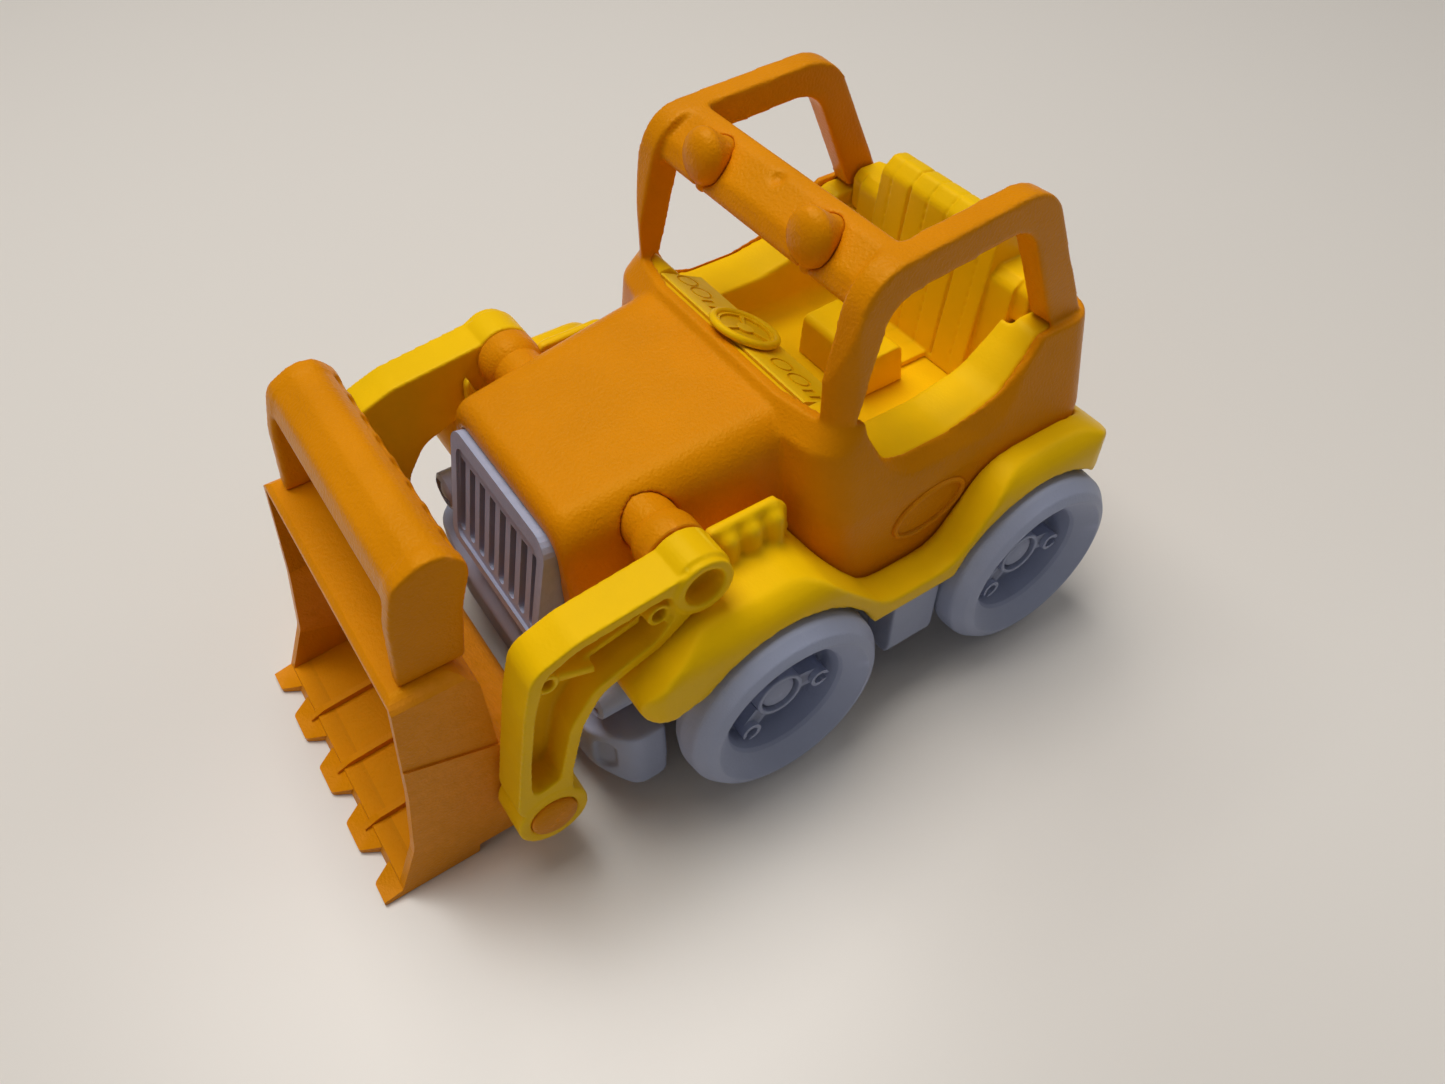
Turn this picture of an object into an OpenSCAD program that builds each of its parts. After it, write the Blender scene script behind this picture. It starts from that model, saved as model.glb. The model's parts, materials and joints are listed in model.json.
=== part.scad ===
// Toy wheeled loader: a moulded plastic body with an open cab and roll cage,
// four free-rolling wheels, two swinging loader arms and a tilting toothed bucket.
// Millimetres. Origin on the floor under the middle of the whole toy.
// +Z up, the bucket points to -Y, the driver's left side is +X.

/* [Wheels] */
// outside radius of the tyres
wheel_r = 24.8; // [22:0.2:24.8]
// half of the overall width, to the outer rim of the wheels
half_track = 58.6; // [58:0.2:62]
// width of one wheel
wheel_w = 13.2; // [12:0.2:13.2]
// position of the front axle along the toy
front_axle_y = -4; // [-5:0.5:-3]
// distance between the two axles
wheelbase = 72; // [71:0.5:73]
// radius of the axle rods
axle_r = 2.5; // [2:0.1:3]
// running clearance of the rods and pins in their holes
play = 0.06; // [0.04:0.01:0.1]

/* [Body] */
// wall thickness of the moulded shells
wall = 2.2; // [1.8:0.1:2.6]
// height of the cab rim
cab_top_z = 80; // [78:0.5:82]
// height of the top of the roll cage
cage_top_z = 114.5; // [112:0.5:120]
// number of slots in the grille
slot_n = 8; // [5:1:9]

/* [Loader] */
// swing axis of the arms, along the toy
arm_y = -18.9; // [-20:0.1:-18]
// swing axis of the arms, height
arm_z = 66.3; // [65:0.1:67]
// tilt axis of the bucket, along the toy
tilt_y = -57.4; // [-58:0.1:-57]
// tilt axis of the bucket, height
tilt_z = 17.7; // [17:0.1:18.5]
// half of the width of the bucket
bucket_half = 35.5; // [32:0.5:36]
// number of teeth on the bucket
tooth_n = 5; // [3:1:7]

/* [Hidden] */
$fn = 48;
body_orange = [0.85, 0.47, 0.03];
frame_yellow = [0.93, 0.68, 0.08];
trim_gray = [0.42, 0.44, 0.49];
rear_axle_y = front_axle_y + wheelbase;
wheel_in = half_track - wheel_w;
arm_in = 36.9;
arm_out = 46.4;
arch_r = wheel_r + 1.2;
fender_x = 54;
crest_z = 58;
sill_z = 38.5;
lip_y = -94.6;
lip_back_y = -72;

// ---- outline helpers ----

function unit(v) = v / norm(v);

// arc of radius r that rounds the corner b between its neighbours a and c
function corner_arc(a, b, c, r, n) =
    let (u = unit(a - b), w = unit(c - b), half = acos(max(-0.99995, u * w)) / 2,
         d = min(r / tan(half), 0.48 * norm(a - b), 0.48 * norm(c - b)),
         rr = d * tan(half), m = b + unit(u + w) * rr / sin(half),
         p = b + u * d - m, q = b + w * d - m,
         s = atan2(p[1], p[0]), e = atan2(q[1], q[0]),
         turn = (e - s) - 360 * round((e - s) / 360))
    [for (i = [0:n]) m + rr * [cos(s + turn * i / n), sin(s + turn * i / n)]];

function flat(p) = [p[0], p[1]];

// outline with every corner rounded; a third number on a point sets its own radius
function rounded(pts, r, n = 6) =
    [for (i = [0:len(pts) - 1])
        let (k = len(pts), b = pts[i], rb = len(b) > 2 ? b[2] : r)
        each (rb < 0.01 ? [flat(b)] :
            corner_arc(flat(pts[(i + k - 1) % k]), flat(b), flat(pts[(i + 1) % k]), rb, n))];

// side outline (y, z) made solid between two x positions
module side_slab(x0, x1, pts) {
    translate([x0, 0, 0]) rotate([90, 0, 90]) linear_extrude(x1 - x0) polygon(pts);
}

// front outline (x, z) made solid between two y positions
module front_slab(y0, y1, pts) {
    translate([0, y1, 0]) rotate([90, 0, 0]) linear_extrude(y1 - y0) polygon(pts);
}

// plan outline (x, y) made solid between two heights
module plan_slab(z0, z1, pts) {
    translate([0, 0, z0]) linear_extrude(z1 - z0) polygon(pts);
}

// round bar along x
module rod(y, z, r, x0, x1) {
    translate([x0, y, z]) rotate([0, 90, 0]) cylinder(r = r, h = x1 - x0);
}

// body turned about an x axis from a profile of (radius, x) points
module turned_x(y, z, pts) {
    translate([0, y, z]) rotate([0, 90, 0]) rotate_extrude() polygon(pts);
}

// the same piece on the left or mirrored to the right side
module on_side(s) {
    if (s > 0) children();
    else mirror([1, 0, 0]) children();
}

// ---- orange body ----

// cross-section of the hood: half width at the top and bottom, height of the top
function hood_section(wt, wb, zt, r) =
    rounded([[-wb, 31, 0.5], [-wt, zt, r], [wt, zt, r], [wb, 31, 0.5]], r);

module hood_block(inset) {
    hull() {
        // nose rounded over into the grille
        for (a = [0:18:90])
            front_slab(-37.6 + inset + 4.6 * (1 - cos(a)), -37.3 + inset + 4.6 * (1 - cos(a)),
                hood_section(25.2 - inset - 1.2 * (1 - sin(a)), 28.3 - inset,
                    72.5 - inset - 4.6 * (1 - sin(a)), 7));
        front_slab(15.5, 16, hood_section(28.8 - inset, 33.6 - inset, 78.7 - inset, 8));
    }
}

// cab shell: half width, front and back at height z
function cab_w(z) = 44.7 - 5 * max(0, z - 58) / 22;
function cab_front(z) = 10.2 + 4.3 * max(0, z - 75) / 5;
cab_back = 91;

function cab_plan(z, inset, r = 8) =
    let (w = cab_w(z) - inset, y0 = cab_front(z) + inset, y1 = cab_back - inset)
    rounded([[-w, y0 + 3.5, r], [-w * 0.55, y0, 14], [w * 0.55, y0, 14], [w, y0 + 3.5, r],
        [w, y1 - 3, 9], [w * 0.7, y1, 9], [-w * 0.7, y1, 9], [-w, y1 - 3, 9]], r);

module cab_block(inset, z0, z1) {
    plan_slab(z0, 58.5, cab_plan(58, inset));
    hull() for (z = [58, 75, z1 - 0.2]) plan_slab(z, z + 0.2, cab_plan(z, inset));
}

// side outlines of the door opening: its lip inside and the start of the slope outside
door_lip = [[21.5, 96], [24.6, 76.5, 3], [28.6, 69, 5], [34, 67.4, 6], [47, 67.4, 12], [61, 70.2, 12],
    [69, 76.5, 8], [74.6, 82.5, 8], [78, 96]];
door_slope = [[20.5, 96], [25.2, 74, 4], [28, 66.5, 6], [34, 62.4, 7], [60, 62.3, 9], [66.5, 66, 8],
    [70.5, 74, 8], [76, 96]];

module door_cut() {
    side_slab(30, 60, rounded(door_lip, 1));
    hull() {
        side_slab(40.6, 40.7, rounded(door_lip, 1));
        side_slab(44, 44.1, rounded(door_slope, 1));
    }
}

module body_shell() {
    color(body_orange)
    difference() {
        union() {
            difference() {
                hood_block(0);
                for (drop = [0, 8]) translate([0, 0, -drop]) hood_block(wall);
            }
            cab_block(0, 31, cab_top_z);
        }
        cab_block(wall, 30.5, cab_top_z + 0.5);
        grille_seat(0.1);
        for (s = [1, -1]) on_side(s) {
            door_cut();
            rod(arm_y, arm_z, 6 + play, 18, 40);
            badge(1);
        }
    }
}

// plain oval ring pressed into each side of the cab
module badge(s) {
    translate([s * 44.7, 41, 50.5]) rotate([0, 90, 0]) rotate([0, 0, 14])
        difference() {
            scale_oval(10, 5.8, 0.9);
            scale_oval(9.2, 5, 2);
        }
}

// oval disc from two half circles and a middle bar
module scale_oval(a, b, h) {
    linear_extrude(h, center = true)
        rotate(90) union() {
            square([2 * (a - b), 2 * b], center = true);
            translate([a - b, 0]) circle(r = b);
            translate([b - a, 0]) circle(r = b);
        }
}

// stub on the side of the hood that carries one loader arm
module trunnion(s) {
    color(body_orange)
    on_side(s) turned_x(arm_y, arm_z,
        concat([[0, 21], [6, 21], [6, 29.64]],
            [for (a = [-32:8:0]) [7.1 * cos(a), 33.4 + 7.1 * sin(a)]],
            [for (a = [0:30:90]) [6.5 + 0.6 * cos(a), 35.9 + 0.6 * sin(a)]],
            [[3, 36.5], [3, 40.3], [2.6, 40.6], [0, 40.6]]));
}

module trunnion_left() { trunnion(1); }
module trunnion_right() { trunnion(-1); }

// ---- roll cage ----

hoop_outer = [[14.5, 78], [14.6, 80, 0], [22.8, cage_top_z - 1.9, 11], [69, cage_top_z + 1.3, 12],
    [86.2, 80, 0], [87, 78]];
hoop_inner = [[21.5, 76], [21.9, 80, 0], [28.6, 105.4, 8], [64, 108.2, 8], [76.6, 80, 0], [77.6, 76]];

// one side hoop, leaning in a little towards the top and the rear
module hoop() {
    translate([39.6, 15, 80]) rotate([0, -2, 1.9]) translate([-39.6, -15, -80]) difference() {
        side_slab(33.4, 39.6, rounded(hoop_outer, 1, 9));
        side_slab(33, 40, rounded(hoop_inner, 1, 9));
    }
}

module roll_cage() {
    color(body_orange)
    difference() {
        union() {
            intersection() {
                for (s = [1, -1]) on_side(s) hoop();
                plan_slab(cab_top_z + 0.02, 120, cab_plan(cab_top_z, 0));
            }
            side_slab(-33.5, 33.5, rounded([[21.6, 102.6], [24.2, 108.4, 3], [30.8, 112.7, 2],
                [34.6, 113.1], [35, 110.6], [29.4, 108.4, 2], [26.4, 104.6, 2]], 0.9, 3));
        }
        translate([0, 29.5, 113.4]) sphere(r = 2.4);
        for (s = [1, -1]) translate([s * 18, 0, 0]) {
            lamp_body(0.1);
            translate([0, 24.2, 104.2]) sphere(r = 1.8);
        }
    }
}

// domed lamp facing forward on the front of the roof bar
module lamp_body(grow) {
    translate([0, 25.2, 110.2]) rotate([80, 0, 0]) rotate_extrude()
        polygon(concat([[0, -7.4 - grow]],
            [for (a = [-70:14:0]) [(3.6 + grow) * cos(a), -4 + (3.4 + grow) * sin(a)]],
            [[5.4 + grow, -0.6], [5.9 + grow, 0.2], [5.9 + grow, 1]],
            [for (a = [12:13:77]) [(5.7 + grow) * cos(a), 1.1 + (3.2 + grow) * sin(a)]],
            [[0, 4.2 + grow]]));
}

module roof_lamp(s) {
    color(body_orange)
    translate([s * 18, 0, 0]) {
        lamp_body(0);
        translate([0, 24.2, 104.2]) sphere(r = 1.7);
    }
}

module roof_lamp_left() { roof_lamp(1); }
module roof_lamp_right() { roof_lamp(-1); }

// ---- yellow fender frame ----

// points of a wheel arch in the side outline, from one angle to another
function arch(y, a0, a1) =
    [for (i = [0:8]) let (a = a0 + (a1 - a0) * i / 8) [y + arch_r * cos(a), wheel_r + arch_r * sin(a), 0]];

fender_side = concat([[-37, 41.5, 4], [-37.4, 47.6, 5], [-31, 53.2, 8], [-22, crest_z, 10],
        [4.6, crest_z, 12], [23.3, sill_z, 10], [42.6, sill_z, 10], [56.4, crest_z - 0.6, 14],
        [84, crest_z - 0.4, 18], [95.4, 48.5, 10], [93.2, 40.8, 1.5], [90.6, 41.6, 1]],
    arch(rear_axle_y, 42, 159), [[42, 34.2, 2], [22, 34.2, 2]],
    arch(front_axle_y, 21, 138), [[-30.5, 40.4, 3]]);

module fender_frame() {
    color(frame_yellow)
    difference() {
        union() {
            intersection() {
                side_slab(-fender_x - 2, fender_x + 2, rounded(fender_side, 1));
                front_slab(-60, 100, rounded([[-fender_x, 20, 0], [-fender_x, crest_z + 0.6, 8],
                    [fender_x, crest_z + 0.6, 8], [fender_x, 20, 0]], 0.5, 8));
                plan_slab(21, 70, rounded([[-fender_x - 0.7, -40.3, 11], [fender_x + 0.7, -40.3, 11],
                    [fender_x + 0.7, 97.6, 19], [-fender_x - 0.7, 97.6, 19]], 5, 9));
            }
            for (s = [1, -1]) on_side(s) {
                side_slab(34.3, 36.8, rounded([[-11.2, 56], [-11.2, 66.8, 1], [5, 67.2, 2.5],
                    [7.9, 64, 2.5], [8.6, 56]], 0.6));
                for (y = [-7.4, -1.9, 3.9]) {
                    translate([37.4, y, 57]) rotate_extrude($fn = 32) polygon(concat([[0, 0], [2.3, 0]],
                        [for (i = [0:5]) [2.3 * cos(i * 18), 6.2 + 2.3 * sin(i * 18)]], [[0, 8.5]]));
                }
                side_slab(33.9, 36.5, [[-31.6, 50], [-30.6, 64.2], [-29.4, 65.4], [-24.4, 50]]);
            }
        }
        hull() {
            front_slab(-45, -44.5, hood_section(24.4, 27.7, 75, 5));
            front_slab(19.5, 20, hood_section(29.2, 34.3, 84, 8));
        }
        cab_block(-0.15, 30, cab_top_z + 2);
    }
}

// ---- cab interior ----

// side outline of the ledges beside the seat, following the door opening
tub_ledge = [[8, 46], [8, 79.4], [21.4, 79.4], [24, 76.2, 3], [28, 68.3, 5], [34, 66.7, 6], [47, 66.7, 12],
    [61, 69.5, 12], [69, 75.8, 8], [73, 79.5, 4], [96, 79.5], [96, 46]];

module cab_tub() {
    color(frame_yellow)
    difference() {
        intersection() {
            cab_block(wall + 0.1, 46, cab_top_z);
            side_slab(-50, 50, rounded(tub_ledge, 0));
        }
        // foot well between the ledges
        front_slab(17.9, 87, rounded([[-28.5, 90, 0], [-27.2, 54.5, 5], [27.2, 54.5, 5], [28.5, 90, 0]], 5));
        // hollow underside of each ledge
        for (s = [1, -1]) on_side(s) side_slab(30.5, 37.5, [[20, 40], [20, 60], [70, 64], [78, 72], [84, 72],
            [84, 40]]);
        plan_slab(40, 52.2, rounded([[-27, 20], [27, 20], [27, 84], [-27, 84]], 3));
        plan_slab(75, 90, [[-30.8, 72], [30.8, 72], [30.8, 86], [-30.8, 86]]);
    }
}

dash_y = 18.5;
dash_z = 79.5;
dash_tilt = 27;

// a place on the sloping instrument panel: across, and down the slope
module on_dash(x, d) {
    translate([x, dash_y + d * cos(dash_tilt), dash_z - d * sin(dash_tilt)]) rotate([-dash_tilt, 0, 0])
        children();
}

// sloping instrument panel under the front rim
module dashboard() {
    color(frame_yellow)
    difference() {
        side_slab(-27.1, 27.1, [[17.95, 70.5], [17.95, dash_z], [dash_y, dash_z],
            [dash_y + 10.5, dash_z - 5.35], [dash_y + 10.5, 72], [27, 70.5]]);
        on_dash(-0.5, 4.4) cylinder(r = 1.6, h = 5, center = true);
        for (x = [-24.2, -18.6, 12.5, 18.5]) on_dash(x, 5.6) difference() {
            cylinder(r = 2.7, h = 0.7, center = true);
            cylinder(r = 2.1, h = 2, center = true);
        }
        for (x = [-14.5, -11.5, 23, 25.5]) on_dash(x, 4.6) cube([1.2, 3.4, 0.7], center = true);
    }
}

module steering_wheel() {
    color(frame_yellow)
    on_dash(-0.5, 4.4) difference() {
        union() {
            translate([0, 0, -2.2]) cylinder(r = 1.55, h = 3);
            translate([0, 0, 0.2]) cylinder(r = 7.4, h = 1.2);
            translate([0, 0, 1.2]) rotate_extrude() translate([7.5, 0]) circle(r = 0.9, $fn = 20);
        }
        for (a = [30, 150, 270]) rotate(a + 60) translate([0, 0, 1.4]) intersection() {
            difference() {
                cylinder(r = 6, h = 1, center = true);
                cylinder(r = 2, h = 2, center = true);
            }
            linear_extrude(2, center = true) polygon([[0, 0], [10, -14], [10, 14]]);
        }
    }
}

module seat() {
    color(frame_yellow)
    difference() {
        intersection() {
            union() {
                side_slab(-11.5, 11.5, rounded([[47, 54.6, 0.2], [48, 65, 2], [59.5, 65.6, 2],
                    [61, 54.6, 0.2]], 1.2));
                side_slab(-8, 8, [[58, 54.6], [58, 56.2], [75, 56.2], [75, 54.6]]);
                side_slab(-19.5, 19.5, rounded([[71.2, 54.6, 0.2], [75.6, 90.6, 3], [79, 93.6, 2],
                    [83.4, 92.6, 2], [86.3, 84, 1], [86.3, 54.6, 0.2]], 1.2));
                for (s = [1, -1]) on_side(s) {
                    side_slab(19, 26.6, rounded([[73.9, 60, 0.2], [75.4, 83, 3], [78, 85, 1.5],
                        [86.3, 85, 0.5], [86.3, 60, 0.2]], 1));
                    side_slab(26, 30.4, rounded([[76.5, 75.2, 0.2], [76.5, 83, 2.5], [78.6, 85, 1.5],
                        [86.3, 85, 0.5], [86.3, 75.2, 0.2]], 1));
                }
            }
            plan_slab(50, 98, cab_plan(cab_top_z, 2 * wall + 0.25));
        }
        for (i = [-2.5:1:2.5]) side_slab(i * 6.2 - 0.35, i * 6.2 + 0.35, [[68, 56], [72.1, 56],
            [76.4, 91], [79, 92.9], [84, 91.7], [84, 97], [68, 97]]);
    }
}

// ---- gray trim ----

grille_tilt = 11.4;

// placement of the leaning grille
module at_grille() {
    translate([0, -41.4, 52]) rotate([-grille_tilt, 0, 0]) children();
}

module grille_outline(g) {
    polygon(rounded([[-20.6 - g, -15.6 - g, 3], [-21.8 - g, 15.2 + g, 4.5], [21.8 + g, 15.2 + g, 4.5],
        [20.6 + g, -15.6 - g, 3]], 3));
}

// room cut in the hood for the grille
module grille_seat(g) {
    at_grille() rotate([90, 0, 0]) translate([0, 0, -8]) linear_extrude(20) grille_outline(g);
}

module grille() {
    color(trim_gray)
    at_grille() rotate([90, 0, 0]) difference() {
        translate([0, 0, -6]) linear_extrude(7) grille_outline(0);
        translate([0, 0, 0.2]) linear_extrude(2) polygon(rounded([[-18.2, -13.6], [-18.9, 11.4],
            [18.9, 11.4], [18.2, -13.6]], 2.4));
        for (i = [0:slot_n - 1]) translate([(i - (slot_n - 1) / 2) * 36 / (slot_n - 0.6), 0, -7])
            linear_extrude(9) union() {
                translate([-1.35, -10.6]) square([2.7, 19]);
                translate([0, -10.6]) circle(r = 1.35, $fn = 24);
            }
        translate([0, 0, -6.5]) linear_extrude(5) square([38, 27], center = true);
    }
}

module headlight(s) {
    color(trim_gray)
    translate([s * 36.2, 0, 34.6]) rotate([90, 0, 0]) difference() {
        union() {
            translate([0, 0, 28.5]) cylinder(r = 5, h = 12);
            translate([0, 0, 40.5]) intersection() {
                cylinder(r = 5, h = 3);
                translate([0, 0, -6.4]) sphere(r = 8.4);
            }
        }
        translate([0, 0, 40.4]) difference() {
            cylinder(r = 3.9, h = 4);
            translate([0, 0, -4]) sphere(r = 5.2);
        }
    }
}

module headlight_left() { headlight(1); }
module headlight_right() { headlight(-1); }

// plan outline of the bumper, wrapped back round both corners
bumper_plan = [[-45.4, -28.4, 1], [-45.4, -36.5, 6], [-38, -43.6, 9], [-20, -45.8, 20], [20, -45.8, 20],
    [38, -43.6, 9], [45.4, -36.5, 6], [45.4, -28.4, 1], [36, -31], [-36, -31]];

module bumper() {
    color(trim_gray)
    difference() {
        intersection() {
            plan_slab(7, 25.4, rounded(bumper_plan, 2, 6));
            side_slab(-50, 50, rounded([[-28, 25.4, 0.2], [-45.9, 25.4, 2.6], [-45.9, 14, 5], [-38, 7, 6],
                [-29.5, 7, 2]], 1));
        }
        for (s = [1, -1]) translate([s * 40.2, -41.8, 17.6]) rotate([90, 0, s * 42]) difference() {
            linear_extrude(3, center = true) rotate(90) union() {
                square([5, 5], center = true);
                translate([2.5, 0]) circle(r = 2.5);
                translate([-2.5, 0]) circle(r = 2.5);
            }
        }
    }
}

module side_step(s) {
    color(trim_gray)
    on_side(s) intersection() {
        side_slab(43.6, 51.6, rounded([[28.6, 10.5, 2.5], [28.6, 32.6, 2], [42.1, 33.6, 2], [42.1, 12, 2.5]],
            2, 5));
        front_slab(20, 50, rounded([[43, 5], [43, 30.7], [45.1, 30.7], [45.1, 40], [46.5, 40],
            [51.6, 30.5, 3], [51.6, 14, 5], [47.5, 9.5, 5]], 0));
    }
}

module side_step_left() { side_step(1); }
module side_step_right() { side_step(-1); }

// floor pan with the four axle bearings
module chassis() {
    color(trim_gray)
    difference() {
        union() {
            plan_slab(13.5, 16.5, rounded([[-36, -31], [36, -31], [36, 91], [-36, 91]], 4));
            for (s = [1, -1]) {
                for (y = [front_axle_y, rear_axle_y]) on_side(s)
                    translate([30.5, y - 6, 16]) cube([5, 12, wheel_r - 16 + 5.5]);
                on_side(s) translate([33.5, -28.4, 16]) cube([2.4, 114, 14.9]);
                on_side(s) translate([35.5, 31, 16]) cube([8, 9, 12]);
            }
            translate([-28, -31, 16]) cube([56, 2.4, 14.9]);
            translate([-35.9, 88.4, 16]) cube([71.8, 2.4, 14.9]);
        }
        for (y = [front_axle_y, rear_axle_y]) rod(y, wheel_r, axle_r + play, -60, 60);
    }
}

// ---- wheels ----

module axle(y) {
    color(trim_gray)
    union() {
        rod(y, wheel_r, axle_r, -wheel_in - 2.6, wheel_in + 2.6);
        for (s = [1, -1]) on_side(s) turned_x(y, wheel_r,
            concat([[0, wheel_in + 2.5], [4.3, wheel_in + 2.5], [4.3, wheel_in + 6]],
                [for (i = [1:6]) [4.3 * cos(i * 15), wheel_in + 6 + 1.3 * sin(i * 15)]]));
    }
}

module front_axle() { axle(front_axle_y); }
module rear_axle() { axle(rear_axle_y); }

// wheel section as (radius, x)
function wheel_profile() =
    let (r = wheel_r, a = wheel_in, b = half_track)
    concat(rounded([[axle_r, a + 0.3, 0], [15, a + 0.3, 0.8], [15.6, a, 0.8], [r - 4, a, 1.5],
        [r - 1.1, a + 1.8, 1.5], [r, a + 5, 3.5], [r - 0.4, b - 3.6, 3], [r - 2.6, b - 1, 1.8],
        [r - 4.8, b, 0.6], [15.4, b - 3.7, 0.6], [14.9, b - 4.6, 0.5], [14.6, a + 2.5, 1],
        [5.9, a + 2.5, 0.4], [5.9, a + 7.4, 0.4], [4.9, a + 7.4, 0.3], [4.9, a + 2.5, 0],
        [axle_r, a + 2.5, 0]], 1, 4));

module wheel(s, y) {
    color(trim_gray)
    on_side(s) union() {
        turned_x(y, wheel_r, wheel_profile());
        translate([wheel_in + 2.4, y, wheel_r]) rotate([0, 90, 0]) for (a = [18, 138, 258]) rotate(a) {
            translate([-10.6, -2.4, 0]) cube([5, 4.8, 3.6]);
            translate([-11.2, 0, 0]) difference() {
                cylinder(r = 2.4, h = 5, $fn = 24);
                translate([0, 0, 1]) cylinder(r = 1.5, h = 5, $fn = 24);
                translate([-5, -0.9, 2]) cube([5, 1.8, 5]);
            }
        }
    }
}

module wheel_front_left() { wheel(1, front_axle_y); }
module wheel_front_right() { wheel(-1, front_axle_y); }
module wheel_rear_left() { wheel(1, rear_axle_y); }
module wheel_rear_right() { wheel(-1, rear_axle_y); }

// ---- loader arms ----

arm_side = [[arm_y + 1, 72.6, 3], [-25, 71.2, 6], [-46, 68.8, 12], [-55.4, 65.4, 6], [-58.6, 54, 12],
    [-61.4, 40, 12], [-64.6, 24, 4], [tilt_y - 2, tilt_z + 2, 2], [tilt_y + 5, 20, 3], [-51.2, 30, 8],
    [-47.4, 43, 8], [-42.5, 50.2, 7], [-36, 52.6, 8], [-29, 54.8, 8], [-21, 60.5, 5], [-15, 62, 3]];

arm_pocket = [[-26, 68.6, 2], [-46, 66.4, 8], [-53, 63.4, 4], [-56.2, 53.6, 10], [-59, 40, 10],
    [-60.8, 28, 2], [-54.2, 29.5, 2], [-50, 44.6, 8], [-44, 52.6, 7], [-36.6, 55.2, 7], [-29.6, 57.4, 6],
    [-25.6, 62, 2]];

module arm(s) {
    color(frame_yellow)
    on_side(s) difference() {
        union() {
            difference() {
                side_slab(arm_in, arm_out, rounded(arm_side, 3));
                side_slab(arm_in + 2.4, arm_out + 1, rounded(arm_pocket, 2));
            }
            rod(arm_y, arm_z, 7.1, arm_in, arm_out - 1.4);
            rod(arm_y, arm_z, 6.5, arm_out - 1.5, arm_out + 0.6);
            rod(tilt_y, tilt_z, 8, arm_in - 0.6, arm_out + 0.2);
            rod(-28.4, 63.4, 2.6, arm_in + 2, arm_out - 0.8);
            rod(-52.4, 60.4, 2.4, arm_in + 2, arm_out - 0.6);
            side_slab(arm_in + 2, arm_out - 1.6, [[-52.4, 61.6], [-42.5, 57.4], [-42.5, 55.4], [-52.4, 59.2]]);
            side_slab(arm_in + 2, arm_out - 4, [[-31, 61.8], [-48, 57.2], [-48, 56], [-31, 59.8]]);
        }
        rod(arm_y, arm_z, 4.4, arm_in + 5.4, arm_out + 2);
        rod(arm_y, arm_z, 3 + play, arm_in - 1, arm_in + 4);
        rod(-28.4, 63.4, 1.6, arm_in + 2.4, arm_out);
        rod(-52.4, 60.4, 1.4, arm_in + 2.4, arm_out);
        rod(tilt_y, tilt_z, 5.2 + play, arm_in - 2, arm_out + 2);
    }
}

module arm_left() { arm(1); }
module arm_right() { arm(-1); }

// ---- bucket ----

bucket_side = [[lip_y + 3.6, 0, 0.3], [-84.6, 14.5, 10], [-81.4, 33, 20], [-78.2, 60.2, 1], [-77, 61, 1],
    [-65, 61, 4], [-61.6, 56, 4], [-61.6, 32, 8], [-50.6, 25, 6], [-50.6, 8, 8], [-58, 2.6, 4],
    [lip_back_y, 2.6, 0.3], [lip_back_y - 0.6, 0, 0.3]];

bucket_hollow = [[lip_y - 2, 2.6, 0], [-90, 66, 0], [-84, 66, 0], [-78, 58.8, 0.5], [-67, 58.6, 3],
    [-64, 55, 3], [-64, 31, 10], [-53, 23.4, 5], [-53, 9.6, 6], [-59, 5, 4], [-86, 2.6, 10]];

module bucket() {
    color(body_orange)
    difference() {
        union() {
            difference() {
                intersection() {
                    side_slab(-bucket_half, bucket_half, rounded(bucket_side, 3));
                    front_slab(-100, -40, rounded([[-bucket_half, -1, 0.2], [-bucket_half, 61, 4],
                        [bucket_half, 61, 4], [bucket_half, -1, 0.2]], 4, 6));
                }
                side_slab(-bucket_half + wall, bucket_half - wall, rounded(bucket_hollow, 3));
                for (s = [1, -1]) on_side(s) side_slab(bucket_half - 0.5, bucket_half + 1,
                    [[-84, 42.8], [-60, 34.2], [-60, 70], [-90, 70]]);
            }
            bucket_teeth();
            for (i = [1:tooth_n - 2]) side_slab(-0.8 + tooth_x(i), 0.8 + tooth_x(i),
                [[lip_y + 3, 1], [lip_y + 3, 2.4], [-88, 3.8], [-62, 6.6], [-62, 3.6], [-74, 3.6], [-74, 1]]);
        }
        for (s = [1, -1]) on_side(s) rod(tilt_y, tilt_z, 4.2, bucket_half - 6, bucket_half + 3);
    }
}

function tooth_x(i) = (i - (tooth_n - 1) / 2) * (2 * bucket_half - 2.8) / (tooth_n - 1);

// row of blunt teeth along the front edge, the end ones cut at the side walls
module bucket_teeth() {
    intersection() {
        union() for (i = [0:tooth_n - 1]) plan_slab(0, 2.6, rounded([[tooth_x(i) - 4, lip_y, 1.2],
            [tooth_x(i) + 4, lip_y, 1.2], [tooth_x(i) + 6.6, lip_y + 4.4, 2.4],
            [tooth_x(i) + 6.6, lip_y + 9, 0], [tooth_x(i) - 6.6, lip_y + 9, 0],
            [tooth_x(i) - 6.6, lip_y + 4.4, 2.4]], 1, 4));
        side_slab(-bucket_half, bucket_half, [[lip_y - 1, -1], [lip_y - 1, 0.9], [lip_y + 7, 2.6],
            [lip_y + 12, 2.6], [lip_y + 12, -1]]);
    }
}

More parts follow.
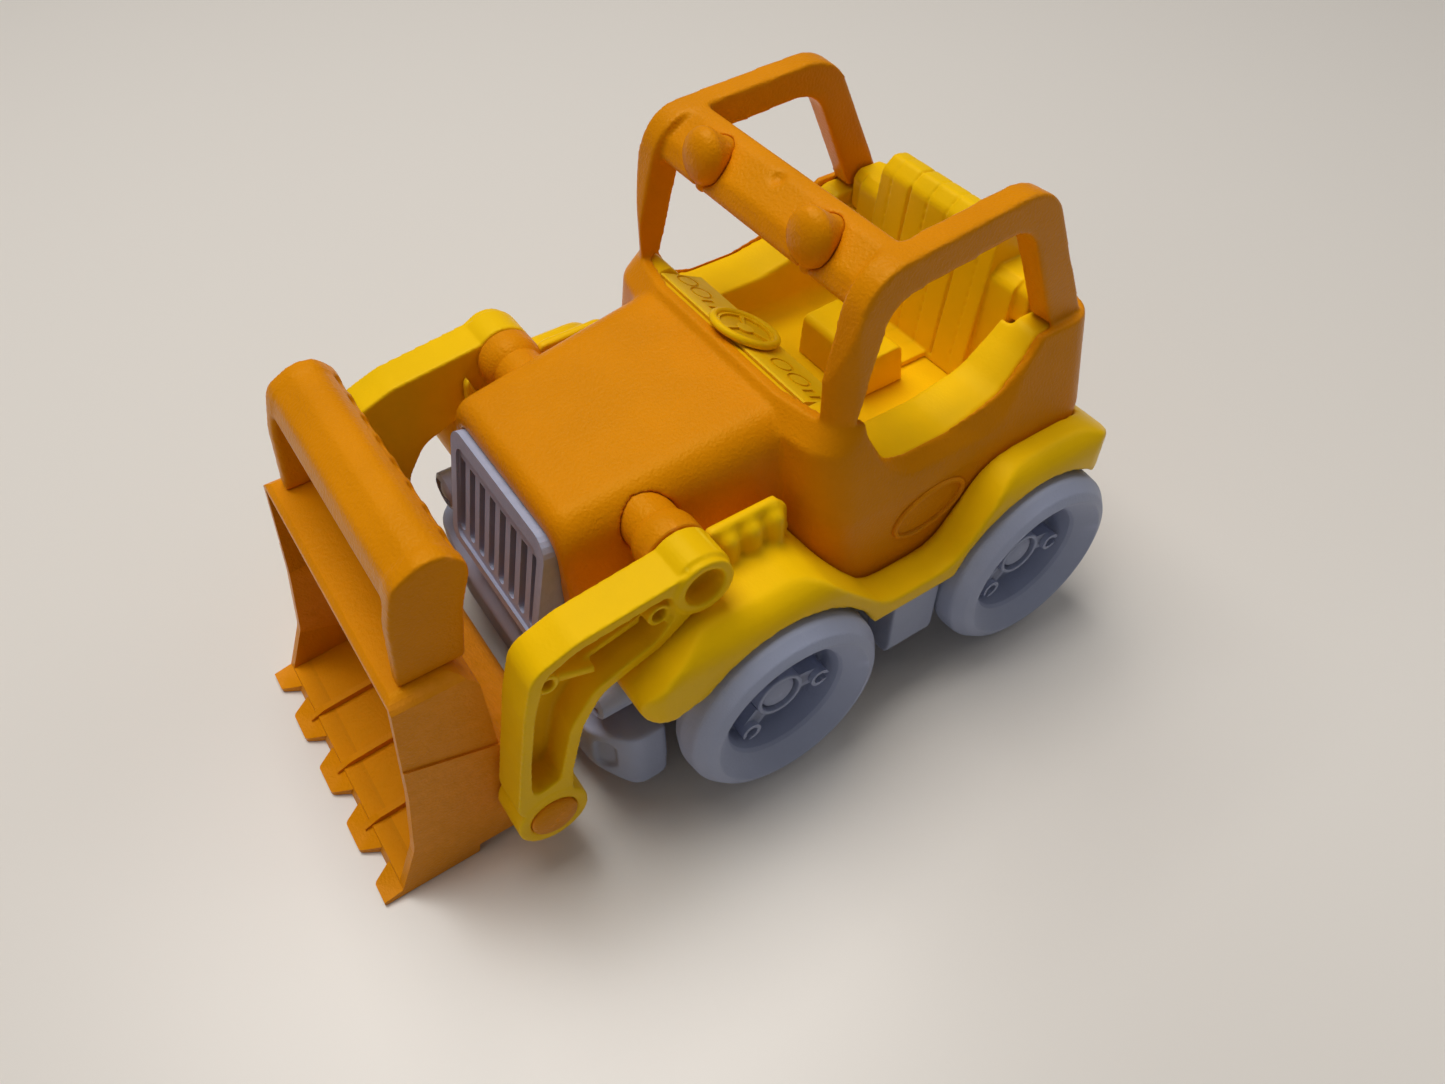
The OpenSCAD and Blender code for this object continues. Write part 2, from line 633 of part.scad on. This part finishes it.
module bucket_handle() {
    color(body_orange)
    difference() {
        union() {
            side_slab(-31.4, 31.4, rounded([[-72, 80], [-70.2, 85.2, 3], [-65, 88, 4], [-60.4, 88, 4],
                [-56.6, 83.4, 3], [-57.4, 78.6, 1.5], [-63, 81, 2], [-69.4, 79.4, 2]], 1.5));
            for (s = [1, -1]) on_side(s) side_slab(28, 31.6, rounded([[-75, 61, 0.2], [-73.2, 76, 14],
                [-70.6, 85.4, 5], [-65, 88.2, 4], [-60.2, 88.2, 4], [-56.2, 83.2, 4], [-59.4, 74, 14],
                [-61.8, 61, 0.2]], 2, 6));
        }
        for (i = [0:7]) translate([-25.2 + i * 7.2 - 2.4, -58.2, 84.6]) rotate([-38, 0, 0])
            translate([0, 0, -0.9]) cube([4.8, 4, 1.5]);
    }
}

module tilt_pin(s) {
    color(body_orange)
    on_side(s) turned_x(tilt_y, tilt_z,
        concat([[0, bucket_half - wall - 0.4], [4.2, bucket_half - wall - 0.4], [4.2, bucket_half],
            [5.2, bucket_half], [5.2, arm_out + 0.4]],
            [for (i = [1:6]) [5.2 * cos(i * 15), arm_out + 0.4 + 1.1 * sin(i * 15)]]));
}

module tilt_pin_left() { tilt_pin(1); }
module tilt_pin_right() { tilt_pin(-1); }

body_shell();
roll_cage();
roof_lamp_left();
roof_lamp_right();
trunnion_left();
trunnion_right();
fender_frame();
cab_tub();
dashboard();
steering_wheel();
seat();
grille();
headlight_left();
headlight_right();
bumper();
side_step_left();
side_step_right();
chassis();
front_axle();
rear_axle();
wheel_front_left();
wheel_front_right();
wheel_rear_left();
wheel_rear_right();
arm_left();
arm_right();
bucket();
bucket_handle();
tilt_pin_left();
tilt_pin_right();
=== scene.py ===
import json
import math

import bmesh
import bpy
from mathutils import Euler, Matrix, Vector


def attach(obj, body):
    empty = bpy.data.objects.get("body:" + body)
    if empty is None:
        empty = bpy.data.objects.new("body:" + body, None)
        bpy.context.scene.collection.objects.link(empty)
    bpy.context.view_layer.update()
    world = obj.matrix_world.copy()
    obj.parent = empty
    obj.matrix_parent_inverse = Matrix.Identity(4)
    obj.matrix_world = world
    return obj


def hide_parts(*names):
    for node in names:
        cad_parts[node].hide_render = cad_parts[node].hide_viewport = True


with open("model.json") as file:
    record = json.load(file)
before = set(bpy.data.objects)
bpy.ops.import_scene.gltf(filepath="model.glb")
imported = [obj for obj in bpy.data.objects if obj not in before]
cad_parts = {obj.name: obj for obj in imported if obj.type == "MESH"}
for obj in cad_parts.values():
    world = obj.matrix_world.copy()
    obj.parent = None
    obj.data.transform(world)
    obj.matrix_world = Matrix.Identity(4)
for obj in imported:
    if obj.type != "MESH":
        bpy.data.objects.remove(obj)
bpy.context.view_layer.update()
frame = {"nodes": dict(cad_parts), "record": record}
nodes = frame["nodes"]
MM = 0.001


# ---- materials ----

def shade(colour, share, lift=0.0):
    return [min(1, c * share + lift) for c in colour]


def noise(tree, place, scale, detail, roughness=0.5):
    node = tree.nodes.new("ShaderNodeTexNoise")
    node.inputs["Scale"].default_value = scale
    node.inputs["Detail"].default_value = detail
    node.inputs["Roughness"].default_value = roughness
    tree.links.new(place, node.inputs["Vector"])
    return node.outputs["Fac"]


def ramp(tree, value, start, end):
    """Colours by value; start and end are each a position and a colour."""
    node = tree.nodes.new("ShaderNodeValToRGB")
    for element, (position, colour) in zip(node.color_ramp.elements, (start, end)):
        element.position = position
        element.color = (*colour, 1)
    tree.links.new(value, node.inputs["Fac"])
    return node.outputs["Color"]


def product(tree, value):
    node = tree.nodes.new("ShaderNodeMath")
    node.operation = "MULTIPLY"
    tree.links.new(value, node.inputs[0])
    return node


def paint_over(tree, factor, under, colour):
    node = tree.nodes.new("ShaderNodeMix")
    node.data_type = "RGBA"
    node.inputs["B"].default_value = (*colour, 1)
    tree.links.new(factor, node.inputs["Factor"])
    tree.links.new(under, node.inputs["A"])
    return node.outputs["Result"]


BLACK = (0, 0, 0)
WHITE = (1, 1, 1)
# sizes of the cloudy colour, the scuffs and the pebbled grain, as noise scales per metre
CLOUD_SCALE = 38
SCUFF_SCALE = 420
PEBBLE_SCALE = 1500
PEBBLE_HEIGHT = 0.2 * MM
# strength of the painted shade in the hollows
HOLLOW_SHADE_STRENGTH = 0.45


def plastic(name, colour, painted_shade, grain, rough):
    """Moulded plastic: cloudy colour, worn edges, painted shade in the hollows, a satin skin and a
    pebbled grain.
    """
    material = bpy.data.materials.new(name)
    material.use_nodes = True
    tree = material.node_tree
    tree.nodes.clear()
    out = tree.nodes.new("ShaderNodeOutputMaterial")
    shader = tree.nodes.new("ShaderNodeBsdfPrincipled")
    tree.links.new(shader.outputs["BSDF"], out.inputs["Surface"])
    shader.inputs["IOR"].default_value = 1.49
    shader.inputs["Specular IOR Level"].default_value = 0.2
    # highlights take some of the plastic's own colour
    strongest = max(colour)
    shader.inputs["Specular Tint"].default_value = (*[(c / strongest) ** 0.45 for c in colour], 1)

    place = tree.nodes.new("ShaderNodeTexCoord").outputs["Object"]
    curving = tree.nodes.new("ShaderNodeNewGeometry").outputs["Pointiness"]
    cloud = noise(tree, place, CLOUD_SCALE, 5, 0.55)
    tint = ramp(tree, cloud, (0.32, shade(colour, 0.93)), (0.68, shade(colour, 1.05)))

    worn = product(tree, ramp(tree, curving, (0.52, BLACK), (0.62, WHITE)))
    tree.links.new(noise(tree, place, SCUFF_SCALE, 3), worn.inputs[1])
    wear = paint_over(tree, worn.outputs[0], tint, shade(colour, 1.18, 0.03))

    # painted shade: hollows (low pointiness) are darkened towards the painted shade colour
    hollow_shade = product(tree, ramp(tree, curving, (0.40, WHITE), (0.49, BLACK)))
    hollow_shade.inputs[1].default_value = HOLLOW_SHADE_STRENGTH
    skin = paint_over(tree, hollow_shade.outputs[0], wear, painted_shade)
    tree.links.new(skin, shader.inputs["Base Color"])

    sheen = tree.nodes.new("ShaderNodeMapRange")
    sheen.inputs["From Min"].default_value = 0.25
    sheen.inputs["From Max"].default_value = 0.75
    sheen.inputs["To Min"].default_value = rough - 0.06
    sheen.inputs["To Max"].default_value = rough + 0.07
    tree.links.new(cloud, sheen.inputs["Value"])
    tree.links.new(sheen.outputs["Result"], shader.inputs["Roughness"])

    bump = tree.nodes.new("ShaderNodeBump")
    bump.inputs["Strength"].default_value = grain
    bump.inputs["Distance"].default_value = PEBBLE_HEIGHT
    tree.links.new(noise(tree, place, PEBBLE_SCALE, 2), bump.inputs["Height"])
    tree.links.new(bump.outputs["Normal"], shader.inputs["Normal"])
    return material


# name, colour, painted shade colour in the hollows, strength of the grain, roughness
MATERIALS = {
    "body_orange": plastic("orange_plastic", (0.74, 0.26, 0.0015), (0.34, 0.10, 0.001), 0.8, 0.33),
    "frame_yellow": plastic("yellow_plastic", (0.93, 0.56, 0.003), (0.55, 0.28, 0.002), 0.22, 0.36),
    "trim_gray": plastic("gray_plastic", (0.38, 0.42, 0.57), (0.12, 0.13, 0.18), 0.35, 0.42),
}
SLOT_OF = {p["node"]: p["material_slot"] for p in frame["record"]["subparts"]}


# ---- rounded edges ----

SHARP_ANGLE = math.radians(32)
# width of a soft edge (mm); other unmelted nodes have the usual one
SOFT_EDGE = {"bucket": 0.35, "grille": 0.3}
USUAL_SOFT_EDGE = 0.25
# voxel (mm), smoothing rounds and share of faces kept, for the thick rounded mouldings
MELTED = {
    "bucket_handle": (0.45, 12, 0.35),
    "fender_frame": (0.7, 7, 0.3),
    "cab_tub": (0.6, 5, 0.25),
    "seat": (0.32, 3, 0.2),
    "arm_left": (0.38, 4, 0.35),
    "arm_right": (0.38, 4, 0.35),
    "bumper": (0.5, 8, 0.3),
    "side_step_left": (0.4, 10, 0.4),
    "side_step_right": (0.4, 10, 0.4),
    "roof_lamp_left": (0.35, 3, 0.5),
    "roof_lamp_right": (0.35, 3, 0.5),
}
BODY_MELT = (0.5, 12, 0.25)


def soften(obj, width):
    """Rounds an object's sharp edges a little."""
    bevel = obj.modifiers.new("soft_edges", "BEVEL")
    bevel.width = width * MM
    bevel.segments = 3
    bevel.limit_method = "ANGLE"
    bevel.angle_limit = SHARP_ANGLE
    bevel.use_clamp_overlap = True
    even = obj.modifiers.new("even_normals", "WEIGHTED_NORMAL")
    even.weight = 60
    even.keep_sharp = False


def melt(obj, voxel, rounds, keep):
    """Rounds every edge and corner of a solid evenly, as thick moulded plastic has them."""
    skin = obj.modifiers.new("skin", "REMESH")
    skin.mode = "VOXEL"
    skin.voxel_size = voxel * MM
    skin.use_smooth_shade = True
    ease = obj.modifiers.new("ease", "SMOOTH")
    ease.factor = 0.5
    ease.iterations = rounds
    thin = obj.modifiers.new("thin", "DECIMATE")
    thin.ratio = keep


for name, obj in nodes.items():
    obj.data.materials.clear()
    obj.data.materials.append(MATERIALS[SLOT_OF[name]])
    for polygon in obj.data.polygons:
        polygon.use_smooth = True
    if name in MELTED:
        melt(obj, *MELTED[name])
    else:
        soften(obj, SOFT_EDGE.get(name, USUAL_SOFT_EDGE))


# ---- hood, cab and roll cage as one moulding, without the seam between them ----

def body_and_cage():
    parts = "body_shell", "roll_cage"
    mesh = bpy.data.meshes.new("body_and_cage")
    shape = bmesh.new()
    for part in parts:
        solid = nodes[part].data.copy()
        solid.transform(nodes[part].matrix_world)
        shape.from_mesh(solid)
        bpy.data.meshes.remove(solid)
    shape.to_mesh(mesh)
    shape.free()
    mesh.materials.clear()
    mesh.materials.append(MATERIALS["body_orange"])
    obj = bpy.data.objects.new("body_and_cage", mesh)
    bpy.context.collection.objects.link(obj)
    melt(obj, *BODY_MELT)
    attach(obj, "vehicle")
    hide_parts(*parts)


body_and_cage()


# ---- plain oval ring on each side of the cab ----

# middle of the ring on the left side (mm), half its length and height, and its tilt
RING_X, RING_Y, RING_Z = 44.7, 41, 50.5
RING_LONG, RING_HIGH = 9.6, 5.4
RING_TILT = math.radians(14)
# half of the ridge's thickness: out of the wall, and in the ring's own plane
RIDGE_OUT, RIDGE_Y, RIDGE_Z = 0.75, 0.7, 0.8
RING_STEPS = 72
RIDGE_STEPS = 10


def ridge_point(side, i, j):
    around = 2 * math.pi * i / RING_STEPS
    across = 2 * math.pi * j / RIDGE_STEPS
    u = math.cos(around) * RING_LONG
    v = math.sin(around) * RING_HIGH
    y = RING_Y + u * math.cos(RING_TILT) - v * math.sin(RING_TILT)
    z = RING_Z + u * math.sin(RING_TILT) + v * math.cos(RING_TILT)
    return MM * Vector((
        side * (RING_X + RIDGE_OUT * math.sin(across)),
        y + math.cos(around) * RIDGE_Y * math.cos(across),
        z + math.sin(around) * RIDGE_Z * math.cos(across),
    ))


def oval_ring(side, name):
    mesh = bpy.data.meshes.new("side_ring")
    shape = bmesh.new()
    rings = [[shape.verts.new(ridge_point(side, i, j)) for j in range(RIDGE_STEPS)]
             for i in range(RING_STEPS)]
    for i, ring in enumerate(rings):
        following = rings[(i + 1) % RING_STEPS]
        for j in range(RIDGE_STEPS):
            k = (j + 1) % RIDGE_STEPS
            shape.faces.new((ring[j], ring[k], following[k], following[j]))
    bmesh.ops.recalc_face_normals(shape, faces=shape.faces)
    shape.to_mesh(mesh)
    shape.free()
    for polygon in mesh.polygons:
        polygon.use_smooth = True
    mesh.materials.append(MATERIALS["body_orange"])
    obj = bpy.data.objects.new(name, mesh)
    bpy.context.collection.objects.link(obj)
    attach(obj, "vehicle")


oval_ring(1, "side_ring_left")
oval_ring(-1, "side_ring_right")


# ---- board of painted shade behind the grille slots ----

GRILLE_PLACE = Vector((0, -41.4, 52)) * MM
GRILLE_TILT = math.radians(-11.4)
BOARD_BEHIND = Vector((0, 2.1, 0)) * MM
BOARD_SIZE = 36.4 * MM, 0.7 * MM, 25.4 * MM


def grille_shade_board():
    bpy.ops.mesh.primitive_cube_add(size=1)
    board = bpy.context.object
    board.name = "grille_shade_board"
    tilt = Euler((GRILLE_TILT, 0, 0)).to_matrix().to_4x4()
    place = Matrix.Translation(GRILLE_PLACE) @ tilt @ Matrix.Translation(BOARD_BEHIND)
    board.data.transform(place @ Matrix.Diagonal((*BOARD_SIZE, 1)))
    # painted shade: a near-black board stands in for the shade inside the grille recess
    painted_shade = plastic("painted_shade_plastic", (0.022, 0.023, 0.027), (0.01, 0.01, 0.012), 0.2, 0.6)
    board.data.materials.append(painted_shade)
    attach(board, "vehicle")


grille_shade_board()


# ---- floor, lights and camera, in metres ----

def floor_material():
    material = bpy.data.materials.new("pale_table")
    material.use_nodes = True
    shader = material.node_tree.nodes["Principled BSDF"]
    shader.inputs["Base Color"].default_value = (0.80, 0.765, 0.72, 1)
    shader.inputs["Roughness"].default_value = 0.32
    return material


FLOOR_SIZE = 6
FLOOR_Z = -0.2 * MM
bpy.ops.mesh.primitive_plane_add(size=FLOOR_SIZE, location=(0, 0, FLOOR_Z))
floor = bpy.context.object
floor.name = "floor"
floor.data.materials.append(floor_material())

LOOK_AT = Vector((0, 0, 0.04))


def area_light(name, place, size, power, colour):
    light = bpy.data.lights.new(name, "AREA")
    light.shape = "RECTANGLE"
    light.size, light.size_y = size
    light.energy = power
    light.color = colour
    obj = bpy.data.objects.new(name, light)
    bpy.context.collection.objects.link(obj)
    obj.location = place
    obj.rotation_euler = (LOOK_AT - Vector(place)).to_track_quat("-Z", "Y").to_euler()


area_light("ceiling_light", (-0.35, -0.02, 1.15), (0.8, 0.8), 11.2, (1, 0.97, 0.93))
area_light("window_light", (0.3, 0.9, 0.9), (0.8, 0.5), 1.4, (1, 0.98, 0.96))
area_light("fill_light", (0.3, -1.1, 0.6), (0.9, 0.6), 1.1, (0.97, 0.98, 1))

world = bpy.data.worlds.new("studio")
world.use_nodes = True
world.node_tree.nodes["Background"].inputs["Color"].default_value = (0.95, 0.93, 0.9, 1)
world.node_tree.nodes["Background"].inputs["Strength"].default_value = 0.12
bpy.context.scene.world = world
bpy.context.scene.view_settings.view_transform = "Standard"

camera_data = bpy.data.cameras.new("camera")
camera_data.sensor_width = 36
camera_data.lens = 26.53
camera_data.clip_start = 0.01
camera = bpy.data.objects.new("camera", camera_data)
bpy.context.collection.objects.link(camera)
camera.location = (0.1530, -0.0861, 0.2211)
camera.rotation_euler = Euler([math.radians(a) for a in (41.52, 0.30, 55.87)])
bpy.context.scene.camera = camera
